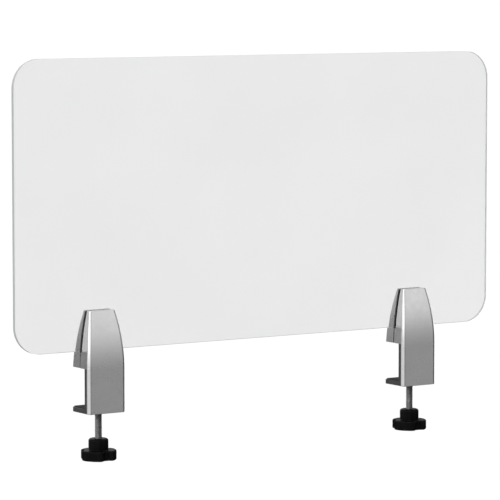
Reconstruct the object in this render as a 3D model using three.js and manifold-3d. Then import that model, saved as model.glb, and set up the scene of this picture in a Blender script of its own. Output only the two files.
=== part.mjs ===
// Desk privacy panel: a clear acrylic sheet that stands on the edge of a desk in two screw clamps.
// Millimetres, +Z up. Z = 0 is the top of the desk, Y = 0 is the desk's edge, with the desk on the +Y
// side, and X = 0 is the middle of the sheet. "left" is the clamp at -X.
import * as THREE from "three";
import { mergeVertices } from "three/addons/utils/BufferGeometryUtils.js";
import Module from "manifold-3d";

const wasm = await Module();
wasm.setup();

// ---- Driving dimensions -------------------------------------------------------------------------

const GAP = 0.1; // between flat faces that rest on each other
const RUNNING_GAP = 0.3; // between round pieces and their holes
const OVERRUN = 1; // how far a cutting form or a buried one runs past a face

// Fineness of round forms
const WELD = 1e-4; // points closer than this are one point
const ROUND_SIDES = 24;
const WIDE_ROUND_SIDES = 32;
const CORNER_STEPS = 5;
const BEND_STEPS = 4;
const LOBE_STEPS = 6;
const SHEET_CORNER_STEPS = 16;
const EDGE_STEPS = 2;
const SHOULDER_STEPS = 3;

// Sheet
const SHEET_WIDTH = 609.6;
const SHEET_HEIGHT = 304.8;
const SHEET_THICKNESS = 4.8;
const SHEET_CORNER = 30;
const SHEET_BOTTOM = 18.2;
const SHEET_Y = 9; // middle of its thickness

// Outer form of a clamp: a column whose front, sides and back lean in along shallow arcs
const LEFT_CLAMP_X = -204.3; // middle of each clamp
const RIGHT_CLAMP_X = 199.7;
const HALF_WIDTH = 22.5;
const FRONT_Y = -9.3;
const BACK_Y = 25.9;
const HEAD_TOP = 60.4;
const HEAD_BOTTOM = 0.4;
const BODY_BOTTOM = -47;
const FRONT_EDGE_RADIUS = 4;
const BACK_EDGE_RADIUS = 3;
const SIDE_LEAN = 7.2; // how far each side has come in at the top
const FRONT_LEAN = 9.4;
const BACK_LEAN = 10.8;
const SIDE_LEAN_START = -1.5; // height at which the sides and the front begin to lean
const BACK_LEAN_START = -23;
const COLUMN_STEPS = 16; // from the bottom of the column to its top
const LINER_STEPS = 8; // up the leaning edge of a jaw liner

// Split of the head
const PAD_THICKNESS = 0.9;
const LINER_THICKNESS = 0.6;
const SLOT_FLOOR = SHEET_BOTTOM - PAD_THICKNESS - 2 * GAP;
const SLOT_HALF = SHEET_THICKNESS / 2 + LINER_THICKNESS + 2 * GAP;
const PARTING_HALF = 0.85; // half of the gap between the front body and the rear jaw
const FRONT_WALL = 4.2;
const LINER_INSET = 1;

// Steel bracket
const STEEL = 5;
const BRACKET_HALF_WIDTH = 22.3;
const FLANGE_BOTTOM = -46.8;
const FLANGE_TOP = FLANGE_BOTTOM + STEEL;
const BRACKET_INNER_BEND = 1.2;
const BRACKET_OUTER_BEND = 2;
const TONGUE_HALF_WIDTH = 15;
const TONGUE_TOP = 12;
const BRACKET_SCREW_HEIGHTS = { upper: -11, lower: -31 };
const COUNTERSUNK_RADIUS = 4;
const COUNTERSUNK_DEPTH = 2.2;
const COUNTERSUNK_LIP = 0.2; // straight rim of the head
const BRACKET_SCREW_SOCKET = 2.5; // across flats
const BRACKET_SCREW_RADIUS = 2; // M4
const BRACKET_SCREW_LENGTH = 8.6;

// Jaw screws: M5 cap screws that pass under the sheet
const JAW_SCREW_X = 11;
const JAW_SCREW_Z = 8.6;
const JAW_SCREW_RADIUS = 2.5;
const JAW_SCREW_HEAD_RADIUS = 4.25;
const JAW_SCREW_HEAD_LENGTH = 5;
const JAW_SCREW_SINK = 2.4; // head below the back at its furthest
const JAW_SCREW_LENGTH = 16; // under the head
const JAW_SCREW_SOCKET = 4; // across flats
const SOCKET_DEPTH = 2.5;
const JAW_SCREW_CHAMFER = 0.5;

// Rubber pads that touch the desk
const DESK_PAD_HALF_WIDTH = 18;
const DESK_PAD_POCKET = 0.8;
const DESK_PAD_MARGIN = 1.2;
const FLANGE_PAD_HOLE = 4.9; // radius

// Clamp screw, foot and knob, all on one upright axis
const SCREW_Y = 9.6;
const SCREW_RADIUS = 3.9; // M8
const NECK_RADIUS = 3;
const NECK_TAPER = [1.5, 0.6]; // where the shank narrows, below the foot
const NECK_CHAMFER = 1;
const FOOT_RADIUS = 9;
const FOOT_HEIGHT = 4;
const FOOT_CHAMFER = 1;
const FOOT_PAD_RADIUS = 8.2;
const FOOT_PAD_HEIGHT = 1.5;
const FOOT_PAD_EDGE = 0.5;
const FOOT_FLOOR = 1.2; // metal above the neck's socket
const FLANGE_PAD_TOP = FLANGE_TOP + PAD_THICKNESS + GAP;
const FOOT_BOTTOM = FLANGE_PAD_TOP + RUNNING_GAP;
const FOOT_TOP = FOOT_BOTTOM + FOOT_HEIGHT;
const KNOB_TOP = -75.1;
const KNOB_BOTTOM = -97.8;
const KNOB_BASE_HEIGHT = 10.6;
const HUB_RADIUS = 10.5;
const HUB_SHOULDER = 2.5;
const LOBE_RADIUS = 19;
const LOBES = 3;
const FLUTE_RADIUS = 7;
const FLUTE_CENTRE = 21.6; // from the knob's axis to the centre of a flute
const FIRST_FLUTE_DEG = -86;
const KNOB_EDGE = 1.5;
const HEX_HEAD = 13; // across flats
const HEX_HEAD_HEIGHT = 5.3;
const CAP_RADIUS = 9;
const CAP_THICKNESS = 2;
const CAP_CHAMFER = 0.4;

// ---- Solids and shapes --------------------------------------------------------------------------

function solidOf(geometry) {
  const bare = geometry.clone();
  bare.deleteAttribute("normal");
  bare.deleteAttribute("uv");
  const merged = mergeVertices(bare, WELD);
  return new wasm.Manifold(
    new wasm.Mesh({
      numProp: 3,
      vertProperties: merged.getAttribute("position").array,
      triVerts: new Uint32Array(merged.index.array),
    }),
  );
}

function geometryOf(solid) {
  const { vertProperties, triVerts } = solid.getMesh();
  const geometry = new THREE.BufferGeometry();
  geometry.setAttribute("position", new THREE.BufferAttribute(vertProperties, 3));
  geometry.setIndex(new THREE.BufferAttribute(triVerts, 1));
  geometry.computeVertexNormals();
  return geometry;
}

// A block between two corners.
function block([x0, y0, z0], [x1, y1, z1]) {
  const geometry = new THREE.BoxGeometry(x1 - x0, y1 - y0, z1 - z0);
  geometry.translate((x0 + x1) / 2, (y0 + y1) / 2, (z0 + z1) / 2);
  return solidOf(geometry);
}

// A round or hexagonal bar along Z between two heights; turnedToY lays it along Y instead.
function bar({ radius, low, high, sides = ROUND_SIDES }) {
  const geometry = new THREE.CylinderGeometry(radius, radius, high - low, sides);
  geometry.rotateX(Math.PI / 2);
  geometry.translate(0, 0, (low + high) / 2);
  return geometry;
}

// Turns a geometry made along Z so that it lies along Y, then moves it to its place.
function turnedToY(geometry, x, z) {
  return geometry.rotateX(-Math.PI / 2).translate(x, 0, z);
}

function hexRadius(acrossFlats) {
  return acrossFlats / Math.sqrt(3);
}

// A solid of revolution about Z. The profile's points are [radius, height] and rise from axis to axis.
function turned(profile, segments = ROUND_SIDES) {
  const points = profile.map(([radius, height]) => new THREE.Vector2(radius, height));
  return new THREE.LatheGeometry(points, segments).rotateX(Math.PI / 2);
}

// A quarter circle from a lower-outer point to an upper-inner one, as profile points.
function shoulder(radius, height, size, steps = SHOULDER_STEPS) {
  return Array.from({ length: steps + 1 }, (_, i) => {
    const angle = (i / steps) * (Math.PI / 2);
    return [
      radius - size + size * Math.cos(angle),
      height - size + size * Math.sin(angle),
    ];
  });
}

// A rectangle with its own radius at the low-Y corners and at the high-Y corners.
function roundedRectangle(x0, y0, x1, y1, lowRadius, highRadius) {
  const shape = new THREE.Shape();
  shape.absarc(x0 + lowRadius, y0 + lowRadius, lowRadius, Math.PI, 1.5 * Math.PI);
  shape.absarc(x1 - lowRadius, y0 + lowRadius, lowRadius, 1.5 * Math.PI, 2 * Math.PI);
  shape.absarc(x1 - highRadius, y1 - highRadius, highRadius, 0, 0.5 * Math.PI);
  shape.absarc(x0 + highRadius, y1 - highRadius, highRadius, 0.5 * Math.PI, Math.PI);
  shape.closePath();
  return shape;
}

// ---- Outer form of the clamp --------------------------------------------------------------------

// How much of a lean is reached at a height: 0 where it starts, 1 at the top of the head.
function leanAt(z, start) {
  const rise = THREE.MathUtils.clamp((z - start) / (HEAD_TOP - start), 0, 1);
  return rise * rise;
}

function halfWidthAt(z) {
  return HALF_WIDTH - SIDE_LEAN * leanAt(z, SIDE_LEAN_START);
}

// The whole clamp's outside, from which the front body and the rear jaw are cut.
function clampColumn() {
  const plan = roundedRectangle(
    -HALF_WIDTH,
    FRONT_Y,
    HALF_WIDTH,
    BACK_Y,
    FRONT_EDGE_RADIUS,
    BACK_EDGE_RADIUS,
  );
  const geometry = new THREE.ExtrudeGeometry(plan, {
    depth: HEAD_TOP - BODY_BOTTOM,
    steps: COLUMN_STEPS,
    curveSegments: CORNER_STEPS,
    bevelEnabled: false,
  });
  geometry.translate(0, 0, BODY_BOTTOM);
  const position = geometry.getAttribute("position");
  for (let i = 0; i < position.count; i++) {
    const z = position.getZ(i);
    const depthShare = (position.getY(i) - FRONT_Y) / (BACK_Y - FRONT_Y);
    const fromFront = FRONT_LEAN * leanAt(z, SIDE_LEAN_START) * (1 - depthShare);
    const fromBack = BACK_LEAN * leanAt(z, BACK_LEAN_START) * depthShare;
    position.setX(i, (position.getX(i) * halfWidthAt(z)) / HALF_WIDTH);
    position.setY(i, position.getY(i) + fromFront - fromBack);
  }
  return solidOf(geometry);
}

// ---- Pieces of a clamp --------------------------------------------------------------------------

const FAR = 100; // reaches past the clamp in any direction
const SLOT_FRONT = SHEET_Y - SLOT_HALF;
const SLOT_BACK = SHEET_Y + SLOT_HALF;
const JAW_SCREW_SIDES = [-1, 1];

function slotSpace() {
  return block([-FAR, SLOT_FRONT, SLOT_FLOOR], [FAR, SLOT_BACK, FAR]);
}

function jawScrewHoles(radius, low, high) {
  return JAW_SCREW_SIDES.map((side) =>
    solidOf(turnedToY(bar({ radius, low, high }), side * JAW_SCREW_X, JAW_SCREW_Z)),
  );
}

function cutAll(solid, cutters) {
  return cutters.reduce((left, cutter) => left.subtract(cutter), solid);
}

// A shallow pocket in the head's underside for a desk pad.
function padPocket(y0, y1) {
  const top = HEAD_BOTTOM + DESK_PAD_POCKET;
  return block(
    [-DESK_PAD_HALF_WIDTH - GAP, y0 - GAP, -FAR],
    [DESK_PAD_HALF_WIDTH + GAP, y1 + GAP, top],
  );
}

function deskPad(y0, y1) {
  const top = HEAD_BOTTOM + DESK_PAD_POCKET - GAP;
  return geometryOf(
    block([-DESK_PAD_HALF_WIDTH, y0, 0], [DESK_PAD_HALF_WIDTH, y1, top]),
  );
}

const LEDGE_PAD = [DESK_PAD_MARGIN, SHEET_Y - PARTING_HALF - DESK_PAD_MARGIN];
const JAW_PAD = [SHEET_Y + PARTING_HALF + DESK_PAD_MARGIN, BACK_Y - 2 * DESK_PAD_MARGIN];

// Front wall, front jaw and the ledge under the sheet, in one casting.
function frontBody() {
  const screwHoles = Object.values(BRACKET_SCREW_HEIGHTS).map((z) => {
    const radius = BRACKET_SCREW_RADIUS + GAP;
    return solidOf(turnedToY(bar({ radius, low: -BRACKET_SCREW_LENGTH - GAP, high: 0 }), 0, z));
  });
  return geometryOf(
    cutAll(clampColumn(), [
      slotSpace(),
      block([-FAR, SLOT_BACK - GAP, -FAR], [FAR, FAR, FAR]),
      block([-FAR, SHEET_Y - PARTING_HALF, -FAR], [FAR, FAR, SLOT_FLOOR + GAP]),
      block([-FAR, FRONT_Y + FRONT_WALL, -FAR], [FAR, FAR, HEAD_BOTTOM]),
      block(
        [-TONGUE_HALF_WIDTH - GAP, FRONT_Y + FRONT_WALL, -FAR],
        [TONGUE_HALF_WIDTH + GAP, GAP, TONGUE_TOP + GAP],
      ),
      padPocket(...LEDGE_PAD),
      ...jawScrewHoles(JAW_SCREW_RADIUS + GAP, 0, BACK_Y),
      ...screwHoles,
    ]),
  );
}

function rearJaw() {
  const headSeat = BACK_Y - JAW_SCREW_SINK - JAW_SCREW_HEAD_LENGTH - GAP;
  const rearHalf = block(
    [-FAR, SHEET_Y + PARTING_HALF, HEAD_BOTTOM],
    [FAR, FAR, FAR],
  );
  return geometryOf(
    cutAll(clampColumn().intersect(rearHalf), [
      slotSpace(),
      padPocket(...JAW_PAD),
      ...jawScrewHoles(JAW_SCREW_RADIUS + RUNNING_GAP, 0, FAR),
      ...jawScrewHoles(JAW_SCREW_HEAD_RADIUS + RUNNING_GAP, headSeat, FAR),
    ]),
  );
}

// The rubber sheet that lines one jaw: it follows the head's outline, set in from its edge.
function jawLiner(y) {
  const low = SHEET_BOTTOM;
  const high = HEAD_TOP - LINER_INSET;
  const edge = Array.from({ length: LINER_STEPS + 1 }, (_, i) => {
    const z = low + ((high - low) * i) / LINER_STEPS;
    return new THREE.Vector2(halfWidthAt(z) - LINER_INSET, z);
  });
  const mirrored = edge.map((point) => new THREE.Vector2(-point.x, point.y)).reverse();
  const outline = new THREE.Shape([...edge, ...mirrored]);
  const geometry = new THREE.ExtrudeGeometry(outline, {
    depth: LINER_THICKNESS,
    bevelEnabled: false,
  });
  return geometry.rotateX(Math.PI / 2).translate(0, y + LINER_THICKNESS, 0);
}

// The strip of rubber on the ledge that the sheet's bottom edge stands on.
function ledgeStrip() {
  const halfWidth = halfWidthAt(SLOT_FLOOR) - LINER_INSET;
  return geometryOf(
    block(
      [-halfWidth, SLOT_FRONT + GAP, SLOT_FLOOR + GAP],
      [halfWidth, SHEET_Y - PARTING_HALF - GAP, SLOT_FLOOR + GAP + PAD_THICKNESS],
    ),
  );
}

// L-shaped steel: a leg behind the front wall with a tongue up into the head, and the bottom flange.
function steelBracket() {
  const front = FRONT_Y + FRONT_WALL + GAP;
  const outer = BRACKET_OUTER_BEND;
  const inner = BRACKET_INNER_BEND;
  const section = new THREE.Shape();
  section.moveTo(front, HEAD_BOTTOM - GAP);
  section.absarc(front + outer, FLANGE_BOTTOM + outer, outer, Math.PI, 1.5 * Math.PI);
  section.lineTo(BACK_Y, FLANGE_BOTTOM);
  section.lineTo(BACK_Y, FLANGE_TOP);
  section.absarc(inner, FLANGE_TOP + inner, inner, 1.5 * Math.PI, Math.PI, true);
  section.lineTo(0, HEAD_BOTTOM - GAP);
  section.closePath();
  const angle = new THREE.ExtrudeGeometry(section, {
    depth: 2 * BRACKET_HALF_WIDTH,
    curveSegments: BEND_STEPS,
    bevelEnabled: false,
  });
  angle.translate(0, 0, -BRACKET_HALF_WIDTH);
  const toClampAxes = new THREE.Matrix4().makeBasis(
    new THREE.Vector3(0, 1, 0),
    new THREE.Vector3(0, 0, 1),
    new THREE.Vector3(1, 0, 0),
  );
  angle.applyMatrix4(toClampAxes);
  const plan = new THREE.ExtrudeGeometry(
    roundedRectangle(
      -BRACKET_HALF_WIDTH,
      FRONT_Y,
      BRACKET_HALF_WIDTH,
      BACK_Y,
      GAP,
      BACK_EDGE_RADIUS,
    ),
    { depth: 2 * FAR, curveSegments: CORNER_STEPS, bevelEnabled: false },
  ).translate(0, 0, -FAR);
  const tongue = block(
    [-TONGUE_HALF_WIDTH, front, -STEEL],
    [TONGUE_HALF_WIDTH, 0, TONGUE_TOP],
  );
  const screwHole = solidOf(
    bar({ radius: SCREW_RADIUS + RUNNING_GAP, low: -FAR, high: 0 }).translate(0, SCREW_Y, 0),
  );
  const countersinks = Object.values(BRACKET_SCREW_HEIGHTS).map((z) =>
    solidOf(turnedToY(countersunkForm(GAP), 0, z)),
  );
  return geometryOf(
    cutAll(solidOf(angle).intersect(solidOf(plan)).add(tongue), [screwHole, ...countersinks]),
  );
}

// A countersunk screw along Z with its head just under Z = 0; with clearance it is the hole for one.
function countersunkForm(clearance) {
  const shank = BRACKET_SCREW_RADIUS + clearance;
  const head = COUNTERSUNK_RADIUS + clearance;
  const top = clearance > 0 ? OVERRUN : -GAP;
  return turned([
    [0, -BRACKET_SCREW_LENGTH],
    [shank, -BRACKET_SCREW_LENGTH],
    [shank, -COUNTERSUNK_DEPTH - GAP],
    [head, -COUNTERSUNK_LIP - GAP],
    [head, top],
    [0, top],
  ]);
}

function bracketScrew(z) {
  const socket = bar({
    radius: hexRadius(BRACKET_SCREW_SOCKET),
    low: -COUNTERSUNK_DEPTH / 2,
    high: OVERRUN,
    sides: 6,
  });
  const solid = solidOf(countersunkForm(0)).subtract(solidOf(socket));
  return turnedToY(geometryOf(solid), 0, z);
}

function jawScrew(side) {
  const headTop = BACK_Y - JAW_SCREW_SINK;
  const seat = headTop - JAW_SCREW_HEAD_LENGTH;
  const tip = seat - JAW_SCREW_LENGTH;
  const form = turned([
    [0, tip],
    [JAW_SCREW_RADIUS - JAW_SCREW_CHAMFER, tip],
    [JAW_SCREW_RADIUS, tip + JAW_SCREW_CHAMFER],
    [JAW_SCREW_RADIUS, seat],
    [JAW_SCREW_HEAD_RADIUS, seat],
    [JAW_SCREW_HEAD_RADIUS, headTop],
    [0, headTop],
  ]);
  const socket = bar({
    radius: hexRadius(JAW_SCREW_SOCKET),
    low: headTop - SOCKET_DEPTH,
    high: FAR,
    sides: 6,
  });
  const solid = solidOf(form).subtract(solidOf(socket));
  return turnedToY(geometryOf(solid), side * JAW_SCREW_X, JAW_SCREW_Z);
}

// The rubber sheet on the flange, with a hole for the clamp screw.
function flangePad() {
  const margin = DESK_PAD_MARGIN;
  const sheet = block(
    [-BRACKET_HALF_WIDTH + margin, BRACKET_INNER_BEND + GAP, FLANGE_TOP + GAP],
    [BRACKET_HALF_WIDTH - margin, BACK_Y - margin, FLANGE_PAD_TOP],
  );
  const hole = bar({ radius: FLANGE_PAD_HOLE, low: -FAR, high: 0 }).translate(0, SCREW_Y, 0);
  return geometryOf(sheet.subtract(solidOf(hole)));
}

// ---- Clamp screw, foot and knob, made about Z and moved to SCREW_Y by their group ------------------

const SOCKET_TOP = FOOT_TOP - FOOT_FLOOR;
const HEAD_LOW = KNOB_BOTTOM + CAP_THICKNESS + 2 * GAP;
const HEAD_HIGH = HEAD_LOW + HEX_HEAD_HEIGHT;

function clampScrew() {
  const rod = turned([
    [0, HEAD_LOW],
    [SCREW_RADIUS, HEAD_LOW],
    [SCREW_RADIUS, FOOT_BOTTOM - NECK_TAPER[0]],
    [NECK_RADIUS, FOOT_BOTTOM - NECK_TAPER[1]],
    [NECK_RADIUS, SOCKET_TOP - RUNNING_GAP - NECK_CHAMFER],
    [NECK_RADIUS - NECK_CHAMFER, SOCKET_TOP - RUNNING_GAP],
    [0, SOCKET_TOP - RUNNING_GAP],
  ]);
  const head = bar({ radius: hexRadius(HEX_HEAD), low: HEAD_LOW, high: HEAD_HIGH, sides: 6 });
  return geometryOf(solidOf(rod).add(solidOf(head)));
}

function foot() {
  const socket = NECK_RADIUS + RUNNING_GAP;
  return turned([
    [0, SOCKET_TOP],
    [socket, SOCKET_TOP],
    [socket, FOOT_BOTTOM],
    [FOOT_RADIUS - FOOT_CHAMFER, FOOT_BOTTOM],
    [FOOT_RADIUS, FOOT_BOTTOM + FOOT_CHAMFER],
    [FOOT_RADIUS, FOOT_TOP],
    [0, FOOT_TOP],
  ]);
}

function footPad() {
  const low = FOOT_TOP + GAP;
  const high = low + FOOT_PAD_HEIGHT;
  return turned([
    [0, low],
    [FOOT_PAD_RADIUS, low],
    ...shoulder(FOOT_PAD_RADIUS, high, FOOT_PAD_EDGE),
    [0, high],
  ]);
}

// The outline of the lobed base: arcs of one big circle with a round flute between each pair.
function lobedOutline(inset) {
  const outer = LOBE_RADIUS - inset;
  const flute = FLUTE_RADIUS + inset;
  const reach = (outer ** 2 + FLUTE_CENTRE ** 2 - flute ** 2) / (2 * FLUTE_CENTRE);
  const halfChord = Math.sqrt(outer ** 2 - reach ** 2);
  const onLobe = Math.atan2(halfChord, reach); // from the flute's middle to its edge, at the knob's axis
  const onFlute = Math.atan2(halfChord, FLUTE_CENTRE - reach); // the same, at the flute's centre
  const outline = new THREE.Shape();
  for (let i = 0; i < LOBES; i++) {
    const middle = THREE.MathUtils.degToRad(FIRST_FLUTE_DEG) + (i * 2 * Math.PI) / LOBES;
    const next = middle + (2 * Math.PI) / LOBES;
    outline.absarc(
      FLUTE_CENTRE * Math.cos(middle),
      FLUTE_CENTRE * Math.sin(middle),
      flute,
      middle + Math.PI + onFlute,
      middle + Math.PI - onFlute,
      true,
    );
    outline.absarc(0, 0, outer, middle + onLobe, next - onLobe);
  }
  outline.closePath();
  return outline;
}

function knob() {
  const baseTop = KNOB_BOTTOM + KNOB_BASE_HEIGHT;
  const base = new THREE.ExtrudeGeometry(lobedOutline(KNOB_EDGE), {
    depth: KNOB_BASE_HEIGHT - 2 * KNOB_EDGE,
    curveSegments: LOBE_STEPS,
    bevelSize: KNOB_EDGE,
    bevelThickness: KNOB_EDGE,
    bevelSegments: EDGE_STEPS,
  }).translate(0, 0, KNOB_BOTTOM + KNOB_EDGE);
  const hub = turned([
    [0, KNOB_BOTTOM + OVERRUN],
    [HUB_RADIUS, KNOB_BOTTOM + OVERRUN],
    [HUB_RADIUS, baseTop],
    ...shoulder(HUB_RADIUS, KNOB_TOP, HUB_SHOULDER),
    [0, KNOB_TOP],
  ]);
  const bore = bar({ radius: SCREW_RADIUS + RUNNING_GAP, low: -2 * FAR, high: 0 });
  const hexPocket = bar({
    radius: hexRadius(HEX_HEAD + 2 * RUNNING_GAP),
    low: -2 * FAR,
    high: HEAD_HIGH + GAP,
    sides: 6,
  });
  const capPocket = bar({
    radius: CAP_RADIUS + RUNNING_GAP,
    low: -2 * FAR,
    high: KNOB_BOTTOM + CAP_THICKNESS + GAP,
    sides: WIDE_ROUND_SIDES,
  });
  return geometryOf(
    cutAll(solidOf(base).add(solidOf(hub)), [bore, hexPocket, capPocket].map(solidOf)),
  );
}

function knobCap() {
  return turned([
    [0, KNOB_BOTTOM],
    [CAP_RADIUS - CAP_CHAMFER, KNOB_BOTTOM],
    [CAP_RADIUS, KNOB_BOTTOM + CAP_CHAMFER],
    [CAP_RADIUS, KNOB_BOTTOM + CAP_THICKNESS],
    [0, KNOB_BOTTOM + CAP_THICKNESS],
  ]);
}

// ---- Sheet --------------------------------------------------------------------------------------

function acrylicSheet() {
  const halfWidth = SHEET_WIDTH / 2;
  const outline = roundedRectangle(
    -halfWidth,
    SHEET_BOTTOM,
    halfWidth,
    SHEET_BOTTOM + SHEET_HEIGHT,
    SHEET_CORNER,
    SHEET_CORNER,
  );
  const geometry = new THREE.ExtrudeGeometry(outline, {
    depth: SHEET_THICKNESS,
    curveSegments: SHEET_CORNER_STEPS,
    bevelEnabled: false,
  });
  return geometry.rotateX(Math.PI / 2).translate(0, SHEET_Y + SHEET_THICKNESS / 2, 0);
}

// ---- Assembly -----------------------------------------------------------------------------------

const FINISHES = {
  castMetal: { color: 0x9a9b9c, roughness: 0.42, metalness: 0.85 },
  darkSteel: { color: 0x303234, roughness: 0.5, metalness: 0.6 },
  zinc: { color: 0xb4b6b5, roughness: 0.3, metalness: 1 },
  rubber: { color: 0x141414, roughness: 0.9, metalness: 0 },
  blackPlastic: { color: 0x0a0a0a, roughness: 0.25, metalness: 0 },
  acrylic: { color: 0xe6e8e8, roughness: 0.05, metalness: 0, transparent: true, opacity: 0.3 },
};

function piece(name, geometry, finish) {
  const mesh = new THREE.Mesh(geometry, new THREE.MeshStandardMaterial(FINISHES[finish]));
  mesh.name = name;
  return mesh;
}

function clamp(side, x) {
  const group = new THREE.Group();
  group.position.x = x;
  group.add(
    piece(`${side}_front_body`, frontBody(), "castMetal"),
    piece(`${side}_rear_jaw`, rearJaw(), "castMetal"),
    piece(`${side}_steel_bracket`, steelBracket(), "darkSteel"),
    piece(`${side}_flange_pad`, flangePad(), "rubber"),
    piece(`${side}_front_liner`, jawLiner(SLOT_FRONT + GAP), "rubber"),
    piece(`${side}_rear_liner`, jawLiner(SLOT_BACK - GAP - LINER_THICKNESS), "rubber"),
    piece(`${side}_ledge_strip`, ledgeStrip(), "rubber"),
    piece(`${side}_ledge_desk_pad`, deskPad(...LEDGE_PAD), "rubber"),
    piece(`${side}_jaw_desk_pad`, deskPad(...JAW_PAD), "rubber"),
  );
  for (const [place, z] of Object.entries(BRACKET_SCREW_HEIGHTS)) {
    group.add(piece(`${side}_bracket_screw_${place}`, bracketScrew(z), "zinc"));
  }
  for (const screwSide of JAW_SCREW_SIDES) {
    const place = screwSide < 0 ? "a" : "b";
    group.add(piece(`${side}_jaw_screw_${place}`, jawScrew(screwSide), "zinc"));
  }
  const spindle = new THREE.Group();
  spindle.position.y = SCREW_Y;
  spindle.add(
    piece(`${side}_clamp_screw`, clampScrew(), "zinc"),
    piece(`${side}_foot`, foot(), "zinc"),
    piece(`${side}_foot_pad`, footPad(), "rubber"),
    piece(`${side}_knob`, knob(), "blackPlastic"),
    piece(`${side}_knob_cap`, knobCap(), "blackPlastic"),
  );
  group.add(spindle);
  return group;
}

const panel = new THREE.Group();
panel.add(
  piece("acrylic_sheet", acrylicSheet(), "acrylic"),
  clamp("left", LEFT_CLAMP_X),
  clamp("right", RIGHT_CLAMP_X),
);

export default panel;
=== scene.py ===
"""Desk privacy panel: a clear acrylic sheet that stands on the edge of a desk in two screw clamps.

Metres, +Z up. Z = 0 is the desk's top and Y = 0 its front edge, with the desk on the +Y side. Shapes are
worked out in millimetres, each clamp about its own middle, and are scaled to metres when a piece is made.
"""

import math

import bmesh
import bpy
from mathutils import Matrix, Vector


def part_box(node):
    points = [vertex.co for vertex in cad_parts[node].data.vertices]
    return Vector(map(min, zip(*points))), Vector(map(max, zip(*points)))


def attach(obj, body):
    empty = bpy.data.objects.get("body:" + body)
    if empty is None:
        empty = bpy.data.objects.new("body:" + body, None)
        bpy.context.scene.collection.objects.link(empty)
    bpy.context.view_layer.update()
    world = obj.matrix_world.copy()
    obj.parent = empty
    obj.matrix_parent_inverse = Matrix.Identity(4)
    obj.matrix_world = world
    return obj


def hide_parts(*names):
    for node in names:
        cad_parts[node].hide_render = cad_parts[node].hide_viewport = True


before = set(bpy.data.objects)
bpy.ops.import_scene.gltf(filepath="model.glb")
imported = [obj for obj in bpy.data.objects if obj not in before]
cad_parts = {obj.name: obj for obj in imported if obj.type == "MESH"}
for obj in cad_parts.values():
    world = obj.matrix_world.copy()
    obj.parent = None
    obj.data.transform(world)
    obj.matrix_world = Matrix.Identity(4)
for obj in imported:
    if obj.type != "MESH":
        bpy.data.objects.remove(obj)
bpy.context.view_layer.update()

MM = 0.001
GAP = 0.1  # between pieces that rest on each other
CLEARANCE = 0.3  # between round pieces and their holes
OVERRUN = 5  # how far a cutting form runs past a face
WELD = 1e-4  # points closer than this are one point
SEGMENTS = 48  # round a circle


def box_mm(node):
    """The low and high corner of a node's box, in millimetres."""
    low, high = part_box(node)
    return low / MM, high / MM


# ---- Camera, light and floor ---------------------------------------------------------------------

CAMERA_PLACE = (-1.8886, -2.8273, 0.4182)
CAMERA_HEADING = 33.46  # degrees from +Y towards +X
CAMERA_PITCH = 5.12  # degrees below the horizon
CAMERA_LENS = 228.4
CAMERA_REACH = 1000
FLOOR_HEIGHT = -0.72  # a desk's height below its top
FLOOR_SIZE = 400
FLOOR_COLOUR = (0.79, 0.79, 0.79, 1)
SUN_STRENGTH = 1.0
SUN_SPREAD = 24  # degrees across
SUN_TILT = (18, -12, 0)  # degrees from straight down
WHITE = 1.02  # brightness of the background to the eye, as bright as the lit floor
KEY_DIRECTION = (-0.97, -0.24, 0)
# Stops are (position, brightness): from straight away from the key direction to straight towards it,
# and from straight down to straight up
LIGHT_AROUND = [(0.0, 0.08), (0.13, 0.12), (0.22, 0.32), (0.3, 0.6), (0.36, 0.4), (0.5, 0.42)]
LIGHT_AROUND += [(0.66, 0.2), (0.73, 0.36), (0.82, 1.0), (1.0, 1.1)]
LIGHT_BY_HEIGHT = [(0.0, 0.4), (0.4, 0.8), (0.475, 0.87), (0.53, 1.4), (0.58, 2.2), (0.65, 2.5)]
LIGHT_BY_HEIGHT += [(1.0, 2.0)]


def node(tree, kind, settings=(), **values):
    """Adds a node, sets its own settings, and then its sockets by their names."""
    made = tree.nodes.new(kind)
    for name, value in dict(settings).items():
        setattr(made, name, value)
    for name, value in values.items():
        made.inputs[name.replace("_", " ")].default_value = value
    return made


def add_camera():
    camera = bpy.data.cameras.new("camera")
    camera.lens = CAMERA_LENS
    camera.clip_end = CAMERA_REACH
    camera.dof.use_dof = False
    holder = bpy.data.objects.new("camera", camera)
    holder.location = CAMERA_PLACE
    holder.rotation_euler = (math.radians(90 - CAMERA_PITCH), 0, math.radians(-CAMERA_HEADING))
    bpy.context.scene.collection.objects.link(holder)
    bpy.context.scene.camera = holder


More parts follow.
